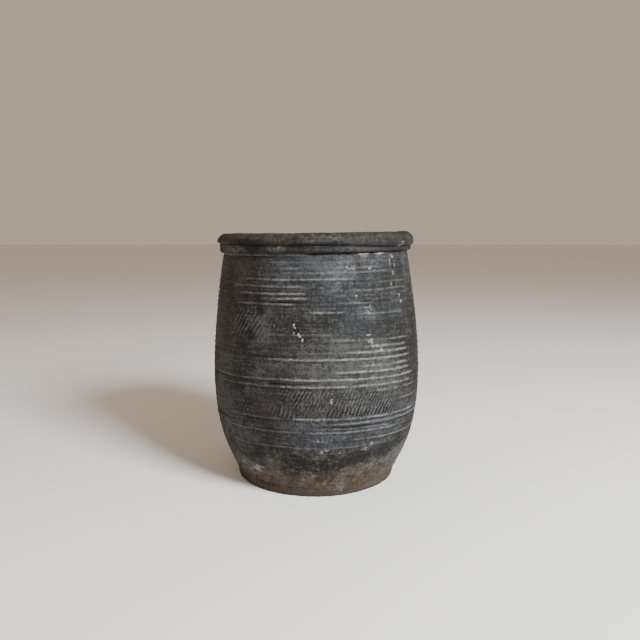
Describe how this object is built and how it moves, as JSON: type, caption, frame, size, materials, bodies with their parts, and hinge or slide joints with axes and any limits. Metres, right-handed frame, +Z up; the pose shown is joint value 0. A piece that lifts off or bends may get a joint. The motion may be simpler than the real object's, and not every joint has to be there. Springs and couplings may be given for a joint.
{
  "type": "clay storage jar",
  "caption": "Tall-bellied storage jar of smoke-blackened earthenware with a flat base, tooled rings, beaten bands and a rolled double collar round a wide open mouth.",
  "frame": {"origin": "centre of the flat underside, on the plane that the jar stands on", "axes": "+Z up along the jar's axis; X and Y are any two square directions, because the jar is round"},
  "size_m": [0.294, 0.294, 0.345],
  "materials": {
    "smoked_clay": "unglazed dark grey clay, smoked black in the firing, tooled, with pale rubbed ridges",
    "rim_clay": "unglazed black clay, worn smooth by hands",
    "foot_clay": "unglazed clay, black above and iron brown at the foot where smoke did not reach"
  },
  "bodies": {
    "root": {"base_slab": "foot_clay", "lower_course": "foot_clay", "belly_course": "smoked_clay", "middle_course": "smoked_clay", "shoulder_course": "smoked_clay", "neck_course": "smoked_clay", "rim_bead": "rim_clay", "rim_roll": "rim_clay"}
  },
  "joints": []
}
